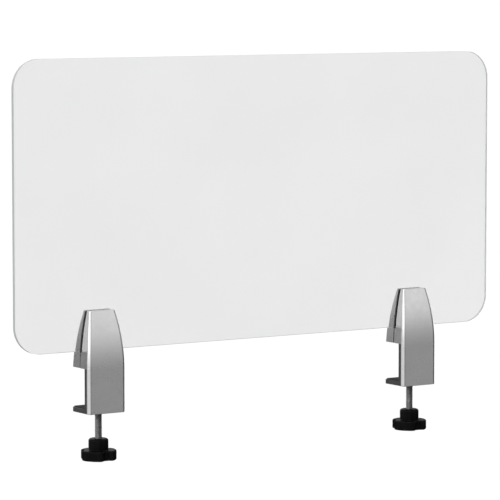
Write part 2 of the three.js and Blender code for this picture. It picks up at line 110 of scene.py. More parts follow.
def add_world():
    """A studio that is white to the eye. Its light comes mostly from the left, and grows with height."""
    world = bpy.data.worlds.new("studio")
    world.use_nodes = True
    tree = world.node_tree
    tree.nodes.clear()
    bpy.context.scene.world = world
    direction = node(tree, "ShaderNodeTexCoord").outputs["Generated"]

    towards = node(tree, "ShaderNodeVectorMath", {"operation": "DOT_PRODUCT"})
    towards.inputs[1].default_value = KEY_DIRECTION
    tree.links.new(direction, towards.inputs[0])
    around = node(tree, "ShaderNodeValToRGB")
    place_stops(around, LIGHT_AROUND)
    turn = node(tree, "ShaderNodeMapRange", From_Min=-1, From_Max=1)
    tree.links.new(towards.outputs["Value"], turn.inputs["Value"])
    tree.links.new(turn.outputs[0], around.inputs[0])

    split = node(tree, "ShaderNodeSeparateXYZ")
    tree.links.new(direction, split.inputs[0])
    height = node(tree, "ShaderNodeValToRGB")
    place_stops(height, LIGHT_BY_HEIGHT)
    rise = node(tree, "ShaderNodeMapRange", From_Min=-1, From_Max=1)
    tree.links.new(split.outputs["Z"], rise.inputs["Value"])
    tree.links.new(rise.outputs[0], height.inputs[0])

    product = node(tree, "ShaderNodeVectorMath", {"operation": "MULTIPLY"})
    tree.links.new(height.outputs[0], product.inputs[0])
    tree.links.new(around.outputs[0], product.inputs[1])
    studio = node(tree, "ShaderNodeBackground", Strength=1.0)
    tree.links.new(product.outputs[0], studio.inputs["Color"])
    white = node(tree, "ShaderNodeBackground", Color=(1, 1, 1, 1), Strength=WHITE)
    path = node(tree, "ShaderNodeLightPath")
    seen = node(tree, "ShaderNodeMath", {"operation": "MAXIMUM"})
    tree.links.new(path.outputs["Is Camera Ray"], seen.inputs[0])
    tree.links.new(path.outputs["Is Transmission Ray"], seen.inputs[1])
    mix = node(tree, "ShaderNodeMixShader")
    tree.links.new(seen.outputs[0], mix.inputs[0])
    tree.links.new(studio.outputs[0], mix.inputs[1])
    tree.links.new(white.outputs[0], mix.inputs[2])
    output = node(tree, "ShaderNodeOutputWorld")
    tree.links.new(mix.outputs[0], output.inputs[0])


def place_stops(ramp, stops):
    """Gives a colour ramp grey stops, each a (position, brightness) pair."""
    elements = ramp.color_ramp.elements
    while len(elements) < len(stops):
        elements.new(0.5)
    for element, (position, grey) in zip(elements, stops):
        element.position = position
        element.color = (grey, grey, grey, 1)


def add_sun():
    sun = bpy.data.lights.new("overhead", "SUN")
    sun.energy = SUN_STRENGTH
    sun.angle = math.radians(SUN_SPREAD)
    holder = bpy.data.objects.new("overhead", sun)
    holder.rotation_euler = [math.radians(angle) for angle in SUN_TILT]
    bpy.context.scene.collection.objects.link(holder)


def add_floor():
    half = FLOOR_SIZE / 2
    mesh = bpy.data.meshes.new("floor")
    corners = [(-half, -half, FLOOR_HEIGHT), (half, -half, FLOOR_HEIGHT)]
    corners += [(half, half, FLOOR_HEIGHT), (-half, half, FLOOR_HEIGHT)]
    mesh.from_pydata(corners, [], [(0, 1, 2, 3)])
    floor = bpy.data.objects.new("floor", mesh)
    floor.visible_glossy = False
    bpy.context.scene.collection.objects.link(floor)
    material = bpy.data.materials.new("floor")
    material.use_nodes = True
    shader = material.node_tree.nodes["Principled BSDF"]
    shader.inputs["Base Color"].default_value = FLOOR_COLOUR
    shader.inputs["Roughness"].default_value = 1
    shader.inputs["Specular IOR Level"].default_value = 0
    mesh.materials.append(material)


# ---- Materials -----------------------------------------------------------------------------------

NOISE_LOW, NOISE_HIGH = 0.35, 0.65  # most of a noise texture's values lie between these
MIX_FIRST, MIX_SECOND, MIX_RESULT = 6, 7, 2  # a Mix node's sockets for colours


class Finish:
    """A material with one Principled shader, and short ways to add texture to it."""

    def __init__(self, name, **values):
        self.material = bpy.data.materials.new(name)
        self.material.use_nodes = True
        self.tree = self.material.node_tree
        self.shader = self.tree.nodes["Principled BSDF"]
        for key, value in values.items():
            self.shader.inputs[key.replace("_", " ")].default_value = value
        self.place = node(self.tree, "ShaderNodeTexCoord").outputs["Object"]

    def stretched(self, scale):
        """The piece's own coordinates, stretched by a factor along each axis."""
        mapping = node(self.tree, "ShaderNodeMapping", Scale=scale)
        self.tree.links.new(self.place, mapping.inputs[0])
        return mapping.outputs[0]

    def noise(self, scale, detail, stretch=(1, 1, 1)):
        made = node(self.tree, "ShaderNodeTexNoise", Scale=scale, Detail=detail)
        self.tree.links.new(self.stretched(stretch), made.inputs["Vector"])
        return made.outputs["Fac"]

    def spread(self, value, low, high):
        """Spreads a noise value over a new range."""
        ends = {"From_Min": NOISE_LOW, "From_Max": NOISE_HIGH, "To_Min": low, "To_Max": high}
        made = node(self.tree, "ShaderNodeMapRange", **ends)
        self.tree.links.new(value, made.inputs["Value"])
        return made.outputs[0]

    def colours(self, value, first, second):
        """Sets the base colour to a blend of two colours by a value."""
        made = node(self.tree, "ShaderNodeMix", {"data_type": "RGBA"})
        made.inputs[MIX_FIRST].default_value = (*first, 1)
        made.inputs[MIX_SECOND].default_value = (*second, 1)
        self.tree.links.new(value, made.inputs[0])
        self.tree.links.new(made.outputs[MIX_RESULT], self.shader.inputs["Base Color"])

    def roughness(self, value):
        self.tree.links.new(value, self.shader.inputs["Roughness"])

    def bump(self, value, depth, after=None):
        """Adds bump of a real depth in metres, on top of any bump added before."""
        made = node(self.tree, "ShaderNodeBump", Strength=1.0, Distance=depth)
        self.tree.links.new(value, made.inputs["Height"])
        if after is not None:
            self.tree.links.new(after, made.inputs["Normal"])
        self.tree.links.new(made.outputs[0], self.shader.inputs["Normal"])
        return made.outputs[0]


def cast_metal():
    """Die-cast alloy with a satin silver finish: fine blasted grain and faint clouding."""
    finish = Finish("satin_cast_metal", Metallic=1.0)
    cloud = finish.spread(finish.noise(45, 4), 0, 1)
    finish.colours(cloud, (0.593, 0.594, 0.596), (0.612, 0.613, 0.614))
    finish.roughness(finish.spread(finish.noise(160, 3), 0.27, 0.31))
    fine = finish.bump(finish.noise(2600, 2), 0.000002)
    finish.bump(finish.noise(240, 2), 0.0000015, after=fine)
    return finish.material


def dark_steel():
    """Steel with a thin dark powder coat: a soft orange-peel surface."""
    finish = Finish("dark_coated_steel", Metallic=0.35, Specular_IOR_Level=0.5)
    cloud = finish.spread(finish.noise(60, 3), 0, 1)
    finish.colours(cloud, (0.03, 0.0305, 0.0315), (0.041, 0.0415, 0.0425))
    finish.roughness(finish.spread(finish.noise(500, 3), 0.38, 0.5))
    finish.bump(finish.noise(1300, 2), 0.00002)
    return finish.material


def zinc_steel():
    """Bright zinc plating with turning marks and a little clouding."""
    finish = Finish("zinc_plated_steel", Metallic=1.0)
    cloud = finish.spread(finish.noise(180, 3), 0, 1)
    finish.colours(cloud, (0.21, 0.21, 0.207), (0.28, 0.281, 0.284))
    finish.roughness(finish.spread(finish.noise(900, 3, stretch=(1, 1, 4)), 0.2, 0.34))
    finish.bump(finish.noise(1500, 2, stretch=(1, 1, 3)), 0.000006)
    return finish.material


def rubber():
    """Dull black rubber with a fine moulded grain."""
    finish = Finish("black_rubber", Specular_IOR_Level=0.3)
    cloud = finish.spread(finish.noise(220, 3), 0, 1)
    finish.colours(cloud, (0.012, 0.012, 0.012), (0.022, 0.022, 0.021))
    finish.roughness(finish.spread(finish.noise(700, 2), 0.72, 0.88))
    finish.bump(finish.noise(1800, 3), 0.00003)
    return finish.material


def black_plastic():
    """Glossy moulded plastic: slight flow waviness and faint handling marks."""
    finish = Finish("gloss_black_plastic", Specular_IOR_Level=0.045)
    cloud = finish.spread(finish.noise(120, 2), 0, 1)
    finish.colours(cloud, (0.0016, 0.0016, 0.0017), (0.003, 0.003, 0.003))
    finish.roughness(finish.spread(finish.noise(340, 4), 0.16, 0.26))
    finish.bump(finish.noise(160, 1), 0.00002)
    return finish.material


def clear_acrylic():
    """Clear cast acrylic with a light grey tint and a polished face."""
    finish = Finish("clear_acrylic", Transmission_Weight=1.0, IOR=1.491)
    cloud = finish.spread(finish.noise(6, 2), 0, 1)
    finish.colours(cloud, (0.797, 0.8, 0.8), (0.815, 0.818, 0.818))
    finish.roughness(finish.spread(finish.noise(30, 3), 0.0, 0.012))
    return finish.material


def painted_shade_rim_finish():
    """The sheet's machined and polished rim: the same acrylic, a little less smooth, and darker through
    painted shade.
    """
    finish = Finish("acrylic_rim_painted_shade", Transmission_Weight=0.45, IOR=1.491)
    streak = finish.spread(finish.noise(900, 2, stretch=(1, 4, 1)), 0, 1)
    # Painted shade: grey diffuse colour darkens the rim, standing in for the dim look of light bent through
    # the edge
    finish.colours(streak, (0.56, 0.58, 0.58), (0.66, 0.68, 0.68))
    finish.roughness(finish.spread(finish.noise(700, 2), 0.12, 0.24))
    return finish.material


# ---- Mesh making ---------------------------------------------------------------------------------


SHARP_ANGLE = 32  # edges that turn more than this stay sharp, in degrees


def join_rings(bm, below, above):
    count = len(below)
    for i in range(count):
        j = (i + 1) % count
        bm.faces.new((below[i], below[j], above[j], above[i]))


def continue_ring(bm, ring, points):
    """Adds a ring of points beyond an edge ring and joins the two."""
    added = [bm.verts.new(point) for point in points]
    join_rings(bm, ring, added)
    return added


def mesh_from(bm):
    """Cleans what was made and turns it into a mesh."""
    bmesh.ops.remove_doubles(bm, verts=bm.verts, dist=WELD)
    bmesh.ops.dissolve_degenerate(bm, edges=bm.edges, dist=WELD)
    bmesh.ops.recalc_face_normals(bm, faces=bm.faces)
    mesh = bpy.data.meshes.new("made")
    bm.to_mesh(mesh)
    bm.free()
    return mesh


def mesh_of(rings, loop=False):
    """Joins rings of points with faces. With loop, the last ring joins the first; else both ends close."""
    bm = bmesh.new()
    made = [[bm.verts.new(point) for point in ring] for ring in rings]
    for below, above in zip(made, made[1:]):
        join_rings(bm, below, above)
    if loop:
        join_rings(bm, made[-1], made[0])
    else:
        bm.faces.new(made[0][::-1])
        bm.faces.new(made[-1])
    return mesh_from(bm)


def block(low, high):
    (x0, y0, z0), (x1, y1, z1) = low, high
    flat = [(x0, y0), (x1, y0), (x1, y1), (x0, y1)]
    return mesh_of([[(x, y, z) for x, y in flat] for z in (z0, z1)])


def along_y(mesh, x=0, z=0):
    """Turns a mesh made about Z so that it lies along Y, and moves it sideways to its place."""
    mesh.transform(Matrix.Translation((x, 0, z)) @ Matrix.Rotation(math.radians(-90), 4, "X"))
    return mesh


def cut(mesh, cutters):
    """Takes the cutters' meshes away from a mesh, and gives the mesh that is left."""
    target = bpy.data.objects.new("target", mesh)
    bpy.context.scene.collection.objects.link(target)
    holders = [target]
    for cutter in cutters:
        holder = bpy.data.objects.new("cutter", cutter)
        bpy.context.scene.collection.objects.link(holder)
        holders.append(holder)
        modifier = target.modifiers.new("cut", "BOOLEAN")
        modifier.operation = "DIFFERENCE"
        modifier.solver = "EXACT"
        modifier.object = holder
    evaluated = target.evaluated_get(bpy.context.evaluated_depsgraph_get())
    left = bpy.data.meshes.new_from_object(evaluated)
    for holder in holders:
        bpy.data.objects.remove(holder)
    return left


def add_piece(name, mesh, place, finish, body, replaced):
    """Makes a mesh in millimetres about place into a finished piece. finish is a (slot, material) pair; its
    slot is not used.
    """
    slot, material = finish
    mesh = mesh.copy()
    mesh.transform(Matrix.Scale(MM, 4) @ Matrix.Translation(place))
    mesh.name = name
    mesh.shade_smooth()
    mesh.set_sharp_from_angle(angle=math.radians(SHARP_ANGLE))
    mesh.materials.clear()
    mesh.materials.append(material)
    piece = bpy.data.objects.new(name, mesh)
    bpy.context.scene.collection.objects.link(piece)
    weighted = piece.modifiers.new("flat faces stay flat", "WEIGHTED_NORMAL")
    weighted.keep_sharp = True
    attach(piece, body)
    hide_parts(replaced)
    return piece


def arc(radius, start, end, steps):
    """Points of an arc about (0, 0), angles in degrees."""
    angles = [math.radians(start + (end - start) * i / steps) for i in range(steps + 1)]
    return [(radius * math.cos(a), radius * math.sin(a)) for a in angles]


def round_box(x0, y0, x1, y1, low_radius, high_radius, steps=8):
    """A rectangle's outline with its own corner radius at low Y and at high Y, going round once."""
    corners = [
        (x0 + low_radius, y0 + low_radius, low_radius, 180),
        (x1 - low_radius, y0 + low_radius, low_radius, 270),
        (x1 - high_radius, y1 - high_radius, high_radius, 0),
        (x0 + high_radius, y1 - high_radius, high_radius, 90),
    ]
    return [
        (cx + x, cy + y)
        for cx, cy, radius, start in corners
        for x, y in arc(radius, start, start + 90, steps)
    ]


def edge_steps(radius, steps=4):
    """(inset, height) pairs of a rounded edge, from the flat face to the side."""
    pairs = [(i / steps) * math.pi / 2 for i in range(steps + 1)]
    return [(radius * (1 - math.sin(a)), radius * (1 - math.cos(a))) for a in pairs]


def plate(outline_at, low, high, edge):
    """Rings of a plate between two heights with rounded edges. outline_at gives its outline at an inset."""
    levels = [(inset, low + rise) for inset, rise in edge_steps(edge)]
    levels += [(inset, high - rise) for inset, rise in reversed(edge_steps(edge))]
    return [[(x, y, z) for x, y in outline_at(inset)] for inset, z in levels]


def upright(rings):
    """Stands a plate made flat on end: its Y becomes Z, and its thickness runs along Y."""
    return [[(x, z, y) for x, y, z in ring] for ring in rings]


def circle(radius, height, segments=SEGMENTS):
    return [(x, y, height) for x, y in arc(radius, 0, 360 - 360 / segments, segments - 1)]


def hexagon(flats, height, segments):
    """A ring on a hexagon's outline, from its width across flats."""
    ring = []
    sector = math.pi / 3
    for x, y, _ in circle(1, height, segments):
        turn = math.atan2(y, x) % sector - sector / 2
        radius = flats / 2 / math.cos(turn)
        ring.append((x * radius, y * radius, height))
    return ring


# One turn of a thread: (share of the pitch, share of the depth), from one crest to just before the next
THREAD_SECTION = [(0, 1), (0.07, 1), (0.14, 0.94), (0.3, 0.45)]
THREAD_SECTION += [(0.45, 0.06), (0.56, 0), (0.67, 0.06), (0.84, 0.5)]
THREAD_LEAD = 0.4  # plain stretch before the thread, in turns
PLAIN_TURNS = 2  # turns of a rod's length that its thread leaves plain


def screw_thread(bm, radius, depth, pitch, low, high, segments):
    """A rod with a real helical thread between two heights. Gives its end rings of vertices."""
    turns = int((high - low) / pitch) - PLAIN_TURNS
    start = low + THREAD_LEAD * pitch
    rows = []
    for turn in range(turns + 1):
        for share, crest in THREAD_SECTION if turn < turns else THREAD_SECTION[:1]:
            along = turn + share
            fade = min(1, along, turns - along)
            row = []
            for i in range(segments):
                angle = 2 * math.pi * i / segments
                r = radius - depth * (1 - crest * max(0, fade))
                z = start + pitch * (along + i / segments)
                row.append(bm.verts.new((r * math.cos(angle), r * math.sin(angle), z)))
            rows.append(row)
    step = len(THREAD_SECTION)
    for k in range(len(rows) - 1):
        for i in range(segments - 1):
            bm.faces.new((rows[k][i], rows[k][i + 1], rows[k + 1][i + 1], rows[k + 1][i]))
    for k in range(len(rows) - 1 - step):
        last = segments - 1
        bm.faces.new((rows[k][last], rows[k + step][0], rows[k + step + 1][0], rows[k + 1][last]))
    core = radius - depth
    ends = []
    for height in (low, high):
        ends.append([bm.verts.new(point) for point in circle(core, height, segments)])
    bottom, top = ends
    for i in range(segments - 1):
        bm.faces.new((bottom[i], bottom[i + 1], rows[0][i + 1], rows[0][i]))
        bm.faces.new((rows[-1][i], rows[-1][i + 1], top[i + 1], top[i]))
    seam_low = [rows[k][0] for k in range(step + 1)]
    bm.faces.new([bottom[-1], bottom[0], *seam_low, rows[0][-1]])
    seam_high = [rows[len(rows) - 1 - step + k][-1] for k in range(step + 1)]
    bm.faces.new([rows[-1][0], top[0], top[-1], *reversed(seam_high)])
    return bottom, top


# ---- Places read from the frame, in millimetres ---------------------------------------------------


def middle(node):
    low, high = box_mm(node)
    return (low + high) / 2


FRONT_LOW, FRONT_HIGH = box_mm("left_front_body")
JAW_LOW = box_mm("left_rear_jaw")[0]
BRACKET_LOW, BRACKET_HIGH = box_mm("left_steel_bracket")
FLANGE_PAD_LOW, FLANGE_PAD_HIGH = box_mm("left_flange_pad")
LINER_LOW, LINER_HIGH = box_mm("left_front_liner")
REAR_LINER_LOW, REAR_LINER_HIGH = box_mm("left_rear_liner")
STRIP_LOW, STRIP_HIGH = box_mm("left_ledge_strip")
LEDGE_PAD_LOW, LEDGE_PAD_HIGH = box_mm("left_ledge_desk_pad")
JAW_PAD_LOW, JAW_PAD_HIGH = box_mm("left_jaw_desk_pad")
FOOT_LOW, FOOT_HIGH = box_mm("left_foot")
FOOT_PAD_LOW, FOOT_PAD_HIGH = box_mm("left_foot_pad")
SCREW_LOW, SCREW_HIGH = box_mm("left_clamp_screw")
KNOB_LOW, KNOB_HIGH = box_mm("left_knob")
CAP_LOW, CAP_HIGH = box_mm("left_knob_cap")
JAW_SCREW_LOW, JAW_SCREW_HIGH = box_mm("left_jaw_screw_a")
BRACKET_SCREW_LOW, BRACKET_SCREW_HIGH = box_mm("left_bracket_screw_upper")
SHEET_LOW, SHEET_HIGH = box_mm("acrylic_sheet")

LEFT_X = middle("left_foot").x
RIGHT_X = middle("right_foot").x
HALF_WIDTH = (FRONT_HIGH.x - FRONT_LOW.x) / 2
FRONT_Y = FRONT_LOW.y
BACK_Y = BRACKET_HIGH.y
HEAD_TOP = FRONT_HIGH.z
HEAD_BOTTOM = JAW_LOW.z
BODY_BOTTOM = FRONT_LOW.z
WALL_BACK = BRACKET_LOW.y - GAP
SLOT_FLOOR = STRIP_LOW.z - GAP
SLOT_FRONT = LINER_LOW.y - GAP
SLOT_BACK = REAR_LINER_HIGH.y + GAP
PARTING_FRONT = FRONT_HIGH.y
PARTING_BACK = JAW_LOW.y
SCREW_Y = middle("left_foot").y
BRACKET_SCREW_HEIGHTS = [middle(f"left_bracket_screw_{place}").z for place in ("upper", "lower")]
JAW_SCREW_HEIGHT = middle("left_jaw_screw_a").z
JAW_SCREW_X = LEFT_X - middle("left_jaw_screw_a").x

# ---- The two castings ----------------------------------------------------------------------------

# The column's outer form leans in along shallow arcs, measured from these heights to its top
SIDE_LEAN = 7.2
FRONT_LEAN = 9.4
BACK_LEAN = 10.8
SIDE_LEAN_START = -1.5
BACK_LEAN_START = -23
FRONT_CORNER = 4
BACK_CORNER = 3
CUT_CORNER = 0.15  # where a side meets a face that isn't part of the outer form
CORNER_STEPS = 8
CUT_CORNER_STEPS = 3
CASTING_EDGE = 0.6
CASTING_STEP = 2.5  # height between the rings of a casting

TONGUE_HALF_WIDTH = 15
TONGUE_TOP = 12
JAW_SCREW_RADIUS = 2.5
JAW_SCREW_HEAD_RADIUS = 4.25
JAW_SCREW_HEAD_LENGTH = 5
BRACKET_SCREW_RADIUS = 2
COUNTERSUNK_RADIUS = 4
COUNTERSUNK_DEPTH = 2.2
COUNTERSUNK_LIP = 0.2


def lean(z, start):
    rise = min(1, max(0, (z - start) / (HEAD_TOP - start)))
    return rise * rise


def width_share(z):
    return 1 - SIDE_LEAN / HALF_WIDTH * lean(z, SIDE_LEAN_START)


def leaned(x, y, z):
    """A point of the straight column, moved to where the leaning column has it."""
    share = (y - FRONT_Y) / (BACK_Y - FRONT_Y)
    front = FRONT_LEAN * lean(z, SIDE_LEAN_START) * (1 - share)
    back = BACK_LEAN * lean(z, BACK_LEAN_START) * share
    return x * width_share(z), y + front - back


def casting_ring(z, cut_y, towards, inset=0.0, cut_inset=0.0):
    """The outline of a casting at a height.

    towards is 1 if its cut face is at its back, as on the front casting, and -1 if it is at its
    front, as on the rear jaw.
    """
    corner = FRONT_CORNER if towards > 0 else BACK_CORNER
    corner_y = FRONT_Y + corner if towards > 0 else BACK_Y - corner
    corner_x = HALF_WIDTH - corner
    start = 180 if towards > 0 else 0
    ring = []
    for side, first in ((-towards, start), (towards, start + 90)):
        for x, y in arc(corner - inset, first, first + 90, CORNER_STEPS):
            ring.append((*leaned(side * corner_x + x, corner_y + y, z), z))
    edge_x = abs(ring[0][0])
    edge_y = cut_y - towards * cut_inset
    for side, first in ((towards, 180 - start), (-towards, 270 - start)):
        for x, y in arc(CUT_CORNER, first, first + 90, CUT_CORNER_STEPS):
            cut_x = side * (edge_x - CUT_CORNER)
            ring.append((cut_x + x, edge_y - towards * CUT_CORNER + y, z))
    return ring


def casting_rings(towards, levels):
    """Rings up a casting. levels are (low, high, the cut face's Y) stretches from its bottom to its top."""
    bottom, top = levels[0][0], levels[-1][1]
    rings = [
        casting_ring(bottom + rise, levels[0][2], towards, inset, inset)
        for inset, rise in edge_steps(CASTING_EDGE)
    ]
    previous = levels[0][2]
    for low, high, cut_y in levels:
        start = low + CASTING_EDGE if low == bottom else low
        end = high - CASTING_EDGE if high == top else high
        if (cut_y - previous) * towards > 0:
            rings += [
                casting_ring(low + rise, cut_y, towards, 0, inset)
                for inset, rise in edge_steps(CUT_CORNER, CUT_CORNER_STEPS)
            ]
            start = low + CUT_CORNER
        if (cut_y - previous) * towards < 0:
            rings += [
                casting_ring(low - rise, previous, towards, 0, inset)
                for inset, rise in reversed(edge_steps(CUT_CORNER, CUT_CORNER_STEPS))
            ]
        following = [level[2] for level in levels if level[0] == high]
        if following and (following[0] - cut_y) * towards < 0:
            end = high - CUT_CORNER
        count = max(1, round((end - start) / CASTING_STEP))
        for i in range(count + 1):
            z = start + (end - start) * i / count
            rings.append(casting_ring(z, cut_y, towards))
        previous = cut_y
    rings += [
        casting_ring(top - rise, levels[-1][2], towards, inset, inset)
        for inset, rise in reversed(edge_steps(CASTING_EDGE))
    ]
    return rings


def round_cutter(stretches):
    """A cutting form about Z, through (radius, height) points from its bottom to its top."""
    return mesh_of([circle(radius, height) for radius, height in stretches])


def pad_pocket(low, high):
    """The cutting form of a desk pad's pocket under the head, from the pad's box."""
    depth = high.z + GAP
    half = (high.x - low.x) / 2 + GAP
    return block((-half, low.y - GAP, HEAD_BOTTOM - OVERRUN), (half, high.y + GAP, depth))


def jaw_screw_cutters(stretches):
    """Cutting forms at both jaw screws, through (radius, place along Y) points."""
    return [
        along_y(round_cutter(stretches), side * JAW_SCREW_X, JAW_SCREW_HEIGHT) for side in (-1, 1)
    ]


def front_casting():
    """The front wall, the front jaw and the ledge that the sheet stands on."""
    levels = [
        (BODY_BOTTOM, HEAD_BOTTOM, WALL_BACK),
        (HEAD_BOTTOM, SLOT_FLOOR, PARTING_FRONT),
        (SLOT_FLOOR, HEAD_TOP, SLOT_FRONT),
    ]
    tongue_room = block(
        (-TONGUE_HALF_WIDTH - GAP, WALL_BACK, HEAD_BOTTOM - OVERRUN),
        (TONGUE_HALF_WIDTH + GAP, GAP, TONGUE_TOP + GAP),
    )
    shank = BRACKET_SCREW_RADIUS + GAP
    depth = BRACKET_SCREW_LOW.y - GAP
    bracket_holes = [
        along_y(round_cutter([(shank, depth), (shank, 0)]), 0, z) for z in BRACKET_SCREW_HEIGHTS
    ]
    through = JAW_SCREW_RADIUS + GAP
    jaw_holes = jaw_screw_cutters([(through, 0), (through, BACK_Y)])
    cutters = [tongue_room, pad_pocket(LEDGE_PAD_LOW, LEDGE_PAD_HIGH), *bracket_holes, *jaw_holes]
    return cut(mesh_of(casting_rings(1, levels)), cutters)


def rear_casting():
    """The jaw behind the sheet, with counterbored holes for the jaw screws."""
    levels = [(HEAD_BOTTOM, SLOT_FLOOR, PARTING_BACK), (SLOT_FLOOR, HEAD_TOP, SLOT_BACK)]
    shank = JAW_SCREW_RADIUS + CLEARANCE
    head = JAW_SCREW_HEAD_RADIUS + CLEARANCE
    seat = JAW_SCREW_HIGH.y - JAW_SCREW_HEAD_LENGTH - GAP
    holes = jaw_screw_cutters([(shank, 0), (shank, seat), (head, seat), (head, BACK_Y + OVERRUN)])
    return cut(mesh_of(casting_rings(-1, levels)), [pad_pocket(JAW_PAD_LOW, JAW_PAD_HIGH), *holes])


# ---- Steel bracket -------------------------------------------------------------------------------

FLANGE_THICKNESS = 5
OUTER_BEND = 2
INNER_BEND = 1.2
PLATE_EDGE = 0.5
BEND_STEPS = 6
RIM_ANGLES = (0, 30, 60, 90)  # places across a rounded edge and a round corner, in degrees
CORNER_ANGLES = (65, 50, 35, 20, 0)
HOLE_CHAMFER = 0.6
CHAMFER_OVERRUN = 1
SCREW_RADIUS = 3.9  # M8


def bracket_ring(x, top):
    """The bracket's L-shaped section at a place across it, with its outer edges rounded."""
    half = (BRACKET_HIGH.x - BRACKET_LOW.x) / 2
    to_side = half - abs(x)
    rim = max(0, PLATE_EDGE - to_side)
    inset = PLATE_EDGE - math.sqrt(PLATE_EDGE**2 - rim**2)
    turn = max(0, BACK_CORNER - to_side)
    back = BACK_Y - BACK_CORNER + math.sqrt(BACK_CORNER**2 - turn**2)
    front, floor = BRACKET_LOW.y, BRACKET_LOW.z
    upper = floor + FLANGE_THICKNESS
    edge = PLATE_EDGE
    points = [(front + inset, top - inset)]
    arcs = [
        (front + OUTER_BEND, floor + OUTER_BEND, OUTER_BEND - inset, 180, 270),
        (back - edge, floor + edge, edge - inset, 270, 360),
        (back - edge, upper - edge, edge - inset, 0, 90),
        (INNER_BEND, upper + INNER_BEND, INNER_BEND + inset, 270, 180),
    ]
    for y, z, radius, start, end in arcs:
        points += [(y + dy, z + dz) for dy, dz in arc(radius, start, end, BEND_STEPS)]
    points.append((-inset, top - inset))
    return [(x, y, z) for y, z in points]


def steel_bracket():
    """An L of steel with a narrower tongue that sits up inside the head."""
    half = (BRACKET_HIGH.x - BRACKET_LOW.x) / 2
    leg_top = HEAD_BOTTOM - GAP
    rim = [half - PLATE_EDGE * (1 - math.cos(math.radians(a))) for a in RIM_ANGLES]
    corner = [half - BACK_CORNER * (1 - math.sin(math.radians(a))) for a in CORNER_ANGLES]
    stations = [(x, leg_top) for x in rim + corner]
    stations += [(TONGUE_HALF_WIDTH, leg_top), (TONGUE_HALF_WIDTH, TONGUE_TOP)]
    stations += [(-x, top) for x, top in reversed(stations)]
    flange_top = BRACKET_LOW.z + FLANGE_THICKNESS
    hole = SCREW_RADIUS + CLEARANCE
    wide = hole + HOLE_CHAMFER + CHAMFER_OVERRUN
    screw_hole = round_cutter(
        [
            (wide, BRACKET_LOW.z - CHAMFER_OVERRUN),
            (hole, BRACKET_LOW.z + HOLE_CHAMFER),
            (hole, flange_top - HOLE_CHAMFER),
            (wide, flange_top + CHAMFER_OVERRUN),
        ]
    )
    screw_hole.transform(Matrix.Translation((0, SCREW_Y, 0)))
    shank = BRACKET_SCREW_RADIUS + GAP
    head = COUNTERSUNK_RADIUS + GAP
    sinks = [
        (shank, BRACKET_SCREW_LOW.y - GAP),
        (shank, -COUNTERSUNK_DEPTH - GAP),
        (head, -COUNTERSUNK_LIP - GAP),
        (head, OVERRUN),
    ]
    countersinks = [along_y(round_cutter(sinks), 0, z) for z in BRACKET_SCREW_HEIGHTS]
    return cut(mesh_of([bracket_ring(x, top) for x, top in stations]), [screw_hole, *countersinks])


# ---- Rubber pieces -------------------------------------------------------------------------------

RUBBER_EDGE = 0.25
LINER_EDGE = 0.15
LINER_INSET = 1
LINER_STEPS = 16
STRIP_CORNER = 0.3
RIB_PITCH = 1.2
RIB_DEPTH = 0.3
# A rib and a groove: (share of the pitch, share of the depth)
RIB_SECTION = [(0.12, 0), (0.62, 0), (0.74, 1), (0.98, 1)]
EDGE_STEPS = 3
FLANGE_PAD_HOLE = 4.9
FLANGE_PAD_CORNER = 0.6
FLANGE_PAD_POINTS = 120
FOOT_GROOVES = (2.2, 4.2, 6.2)
GROOVE_WIDTH = 0.5
GROOVE_DEPTH = 0.35


def resampled(points, count):
    """The same closed outline with points spread evenly along it."""
    closed = [*points, points[0]]
    lengths = [math.dist(a, b) for a, b in zip(closed, closed[1:])]
    total = sum(lengths)
    spread, done, k = [], 0.0, 0
    for i in range(count):
        target = total * i / count
        while done + lengths[k] < target:
            done += lengths[k]
            k += 1
        share = (target - done) / lengths[k]
        (x0, y0), (x1, y1) = closed[k], closed[k + 1]
        spread.append((x0 + (x1 - x0) * share, y0 + (y1 - y0) * share))
    return spread


def flange_pad():
    """The rubber on the flange, with a hole for the screw."""
    half = (FLANGE_PAD_HIGH.x - FLANGE_PAD_LOW.x) / 2
    low, high = FLANGE_PAD_LOW, FLANGE_PAD_HIGH
    corners = (FLANGE_PAD_CORNER, BACK_CORNER - LINER_INSET)
    outline = resampled(round_box(-half, low.y, half, high.y, *corners), FLANGE_PAD_POINTS)
    edge = RUBBER_EDGE

    def outer(inset, z):
        share = 1 - inset / half
        return [(x * share, SCREW_Y + (y - SCREW_Y) * share, z) for x, y in outline]

    def hole(z):
        ring = []
        for x, y in outline:
            angle = math.atan2(y - SCREW_Y, x)
            ring.append(
                (FLANGE_PAD_HOLE * math.cos(angle), SCREW_Y + FLANGE_PAD_HOLE * math.sin(angle), z)
            )
        return ring

    rings = [hole(low.z)]
    rings += [outer(inset, low.z + rise) for inset, rise in edge_steps(edge, EDGE_STEPS)]
    rings += [outer(inset, high.z - rise) for inset, rise in reversed(edge_steps(edge, EDGE_STEPS))]
    rings.append(hole(high.z))
    return mesh_of(rings, loop=True)


def jaw_liner(low, high):
    """A liner's outline follows the head's leaning sides."""

    def outline(inset):
        right = []
        for i in range(LINER_STEPS + 1):
            z = low.z + (high.z - low.z) * i / LINER_STEPS
            x = HALF_WIDTH * width_share(z) - LINER_INSET - inset
            right.append((x, min(max(z, low.z + inset), high.z - inset)))
        return right + [(-x, z) for x, z in reversed(right)]

    return mesh_of(upright(plate(outline, low.y, high.y, LINER_EDGE)))


def ledge_strip():
    """The rubber strip that the sheet stands on."""
    half = (STRIP_HIGH.x - STRIP_LOW.x) / 2

    def outline(inset):
        low = (inset - half, STRIP_LOW.y + inset)
        high = (half - inset, STRIP_HIGH.y - inset)
        return round_box(*low, *high, STRIP_CORNER, STRIP_CORNER, EDGE_STEPS)

    return mesh_of(plate(outline, STRIP_LOW.z, STRIP_HIGH.z, RUBBER_EDGE))


